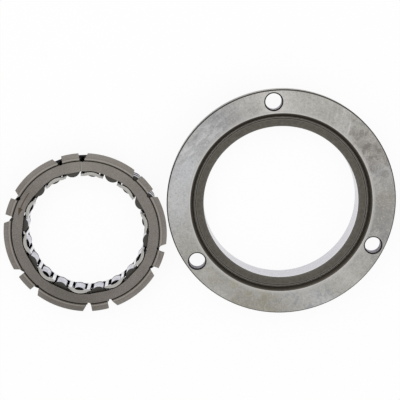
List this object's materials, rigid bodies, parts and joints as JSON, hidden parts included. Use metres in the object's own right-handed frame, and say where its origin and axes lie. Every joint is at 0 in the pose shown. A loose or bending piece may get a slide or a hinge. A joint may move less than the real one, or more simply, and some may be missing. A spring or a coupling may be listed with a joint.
{
  "type": "starter clutch",
  "caption": "Starter clutch set lying flat: a flanged outer race housing with bolt holes, and beside it the loose sprag one-way clutch unit with double cage, bridges and notched drag flange.",
  "frame": {"origin": "on the axis of the housing's race, in the plane of the housing's rear face", "axes": "+Z along the race axis, from the rear face towards the bolting face; +X away from the clutch unit, which lies beside the housing on the same plane"},
  "size_m": [0.198, 0.115, 0.015],
  "materials": {
    "housing_steel": "ground flange face, darker turned recess",
    "cage_steel": "blasted, matte warm grey",
    "inner_cage_steel": "bright pressed steel",
    "spring_steel": "blued spring strip",
    "sprag_steel": "dark ends, polished cam faces"
  },
  "bodies": {
    "housing": {"housing": "housing_steel"},
    "outer_cage": {"outer_cage": "cage_steel", "side_ring": "cage_steel", "ribbon_spring": "spring_steel"},
    "inner_cage": {"inner_cage": "inner_cage_steel"},
    "sprag_01": {"sprag_01": "sprag_steel"},
    "sprag_02": {"sprag_02": "sprag_steel"},
    "sprag_03": {"sprag_03": "sprag_steel"},
    "sprag_04": {"sprag_04": "sprag_steel"},
    "sprag_05": {"sprag_05": "sprag_steel"},
    "sprag_06": {"sprag_06": "sprag_steel"},
    "sprag_07": {"sprag_07": "sprag_steel"},
    "sprag_08": {"sprag_08": "sprag_steel"},
    "sprag_09": {"sprag_09": "sprag_steel"},
    "sprag_10": {"sprag_10": "sprag_steel"},
    "sprag_11": {"sprag_11": "sprag_steel"},
    "sprag_12": {"sprag_12": "sprag_steel"},
    "sprag_13": {"sprag_13": "sprag_steel"},
    "sprag_14": {"sprag_14": "sprag_steel"},
    "sprag_15": {"sprag_15": "sprag_steel"},
    "sprag_16": {"sprag_16": "sprag_steel"},
    "sprag_17": {"sprag_17": "sprag_steel"},
    "sprag_18": {"sprag_18": "sprag_steel"},
    "sprag_19": {"sprag_19": "sprag_steel"},
    "sprag_20": {"sprag_20": "sprag_steel"}
  },
  "joints": [
    {"name": "clutch_lift", "type": "slide", "parent": "housing", "child": "outer_cage", "axis": [0, 0, 1], "range_m": [0, 0.03]},
    {"name": "inner_cage_turn", "type": "hinge", "parent": "outer_cage", "child": "inner_cage", "pos_m": [-0.0994, -0.0102, 0], "axis": [0, 0, 1], "range_deg": [-2.4, 0], "stiffness_Nm_per_rad": 0.5, "springref_deg": 1.72},
    {"name": "sprag_01_tilt", "type": "hinge", "parent": "outer_cage", "child": "sprag_01", "pos_m": [-0.06492, -0.00585, 0.0061], "axis": [0, 0, 1], "range_deg": [0, 15.8]},
    {"name": "sprag_02_tilt", "type": "hinge", "parent": "outer_cage", "child": "sprag_02", "pos_m": [-0.06796, 0.0046, 0.0061], "axis": [0, 0, 1], "range_deg": [0, 15.8]},
    {"name": "sprag_03_tilt", "type": "hinge", "parent": "outer_cage", "child": "sprag_03", "pos_m": [-0.07407, 0.01359, 0.0061], "axis": [0, 0, 1], "range_deg": [0, 15.8]},
    {"name": "sprag_04_tilt", "type": "hinge", "parent": "outer_cage", "child": "sprag_04", "pos_m": [-0.08266, 0.02025, 0.0061], "axis": [0, 0, 1], "range_deg": [0, 15.8]},
    {"name": "sprag_05_tilt", "type": "hinge", "parent": "outer_cage", "child": "sprag_05", "pos_m": [-0.09289, 0.02393, 0.0061], "axis": [0, 0, 1], "range_deg": [0, 15.8]},
    {"name": "sprag_06_tilt", "type": "hinge", "parent": "outer_cage", "child": "sprag_06", "pos_m": [-0.10376, 0.02428, 0.0061], "axis": [0, 0, 1], "range_deg": [0, 15.8]},
    {"name": "sprag_07_tilt", "type": "hinge", "parent": "outer_cage", "child": "sprag_07", "pos_m": [-0.1142, 0.02124, 0.0061], "axis": [0, 0, 1], "range_deg": [0, 15.8]},
    {"name": "sprag_08_tilt", "type": "hinge", "parent": "outer_cage", "child": "sprag_08", "pos_m": [-0.12319, 0.01513, 0.0061], "axis": [0, 0, 1], "range_deg": [0, 15.8]},
    {"name": "sprag_09_tilt", "type": "hinge", "parent": "outer_cage", "child": "sprag_09", "pos_m": [-0.12985, 0.00654, 0.0061], "axis": [0, 0, 1], "range_deg": [0, 15.8]},
    {"name": "sprag_10_tilt", "type": "hinge", "parent": "outer_cage", "child": "sprag_10", "pos_m": [-0.13353, -0.00369, 0.0061], "axis": [0, 0, 1], "range_deg": [0, 15.8]},
    {"name": "sprag_11_tilt", "type": "hinge", "parent": "outer_cage", "child": "sprag_11", "pos_m": [-0.13388, -0.01456, 0.0061], "axis": [0, 0, 1], "range_deg": [0, 15.8]},
    {"name": "sprag_12_tilt", "type": "hinge", "parent": "outer_cage", "child": "sprag_12", "pos_m": [-0.13084, -0.025, 0.0061], "axis": [0, 0, 1], "range_deg": [0, 15.8]},
    {"name": "sprag_13_tilt", "type": "hinge", "parent": "outer_cage", "child": "sprag_13", "pos_m": [-0.12473, -0.03399, 0.0061], "axis": [0, 0, 1], "range_deg": [0, 15.8]},
    {"name": "sprag_14_tilt", "type": "hinge", "parent": "outer_cage", "child": "sprag_14", "pos_m": [-0.11614, -0.04065, 0.0061], "axis": [0, 0, 1], "range_deg": [0, 15.8]},
    {"name": "sprag_15_tilt", "type": "hinge", "parent": "outer_cage", "child": "sprag_15", "pos_m": [-0.10591, -0.04433, 0.0061], "axis": [0, 0, 1], "range_deg": [0, 15.8]},
    {"name": "sprag_16_tilt", "type": "hinge", "parent": "outer_cage", "child": "sprag_16", "pos_m": [-0.09505, -0.04468, 0.0061], "axis": [0, 0, 1], "range_deg": [0, 15.8]},
    {"name": "sprag_17_tilt", "type": "hinge", "parent": "outer_cage", "child": "sprag_17", "pos_m": [-0.0846, -0.04164, 0.0061], "axis": [0, 0, 1], "range_deg": [0, 15.8]},
    {"name": "sprag_18_tilt", "type": "hinge", "parent": "outer_cage", "child": "sprag_18", "pos_m": [-0.07561, -0.03553, 0.0061], "axis": [0, 0, 1], "range_deg": [0, 15.8]},
    {"name": "sprag_19_tilt", "type": "hinge", "parent": "outer_cage", "child": "sprag_19", "pos_m": [-0.06895, -0.02694, 0.0061], "axis": [0, 0, 1], "range_deg": [0, 15.8]},
    {"name": "sprag_20_tilt", "type": "hinge", "parent": "outer_cage", "child": "sprag_20", "pos_m": [-0.06527, -0.01671, 0.0061], "axis": [0, 0, 1], "range_deg": [0, 15.8]}
  ],
  "couplings": [
    {"joint": "sprag_01_tilt", "follows": "inner_cage_turn", "ratio": -6.55},
    {"joint": "sprag_02_tilt", "follows": "inner_cage_turn", "ratio": -6.55},
    {"joint": "sprag_03_tilt", "follows": "inner_cage_turn", "ratio": -6.55},
    {"joint": "sprag_04_tilt", "follows": "inner_cage_turn", "ratio": -6.55},
    {"joint": "sprag_05_tilt", "follows": "inner_cage_turn", "ratio": -6.55},
    {"joint": "sprag_06_tilt", "follows": "inner_cage_turn", "ratio": -6.55},
    {"joint": "sprag_07_tilt", "follows": "inner_cage_turn", "ratio": -6.55},
    {"joint": "sprag_08_tilt", "follows": "inner_cage_turn", "ratio": -6.55},
    {"joint": "sprag_09_tilt", "follows": "inner_cage_turn", "ratio": -6.55},
    {"joint": "sprag_10_tilt", "follows": "inner_cage_turn", "ratio": -6.55},
    {"joint": "sprag_11_tilt", "follows": "inner_cage_turn", "ratio": -6.55},
    {"joint": "sprag_12_tilt", "follows": "inner_cage_turn", "ratio": -6.55},
    {"joint": "sprag_13_tilt", "follows": "inner_cage_turn", "ratio": -6.55},
    {"joint": "sprag_14_tilt", "follows": "inner_cage_turn", "ratio": -6.55},
    {"joint": "sprag_15_tilt", "follows": "inner_cage_turn", "ratio": -6.55},
    {"joint": "sprag_16_tilt", "follows": "inner_cage_turn", "ratio": -6.55},
    {"joint": "sprag_17_tilt", "follows": "inner_cage_turn", "ratio": -6.55},
    {"joint": "sprag_18_tilt", "follows": "inner_cage_turn", "ratio": -6.55},
    {"joint": "sprag_19_tilt", "follows": "inner_cage_turn", "ratio": -6.55},
    {"joint": "sprag_20_tilt", "follows": "inner_cage_turn", "ratio": -6.55}
  ]
}
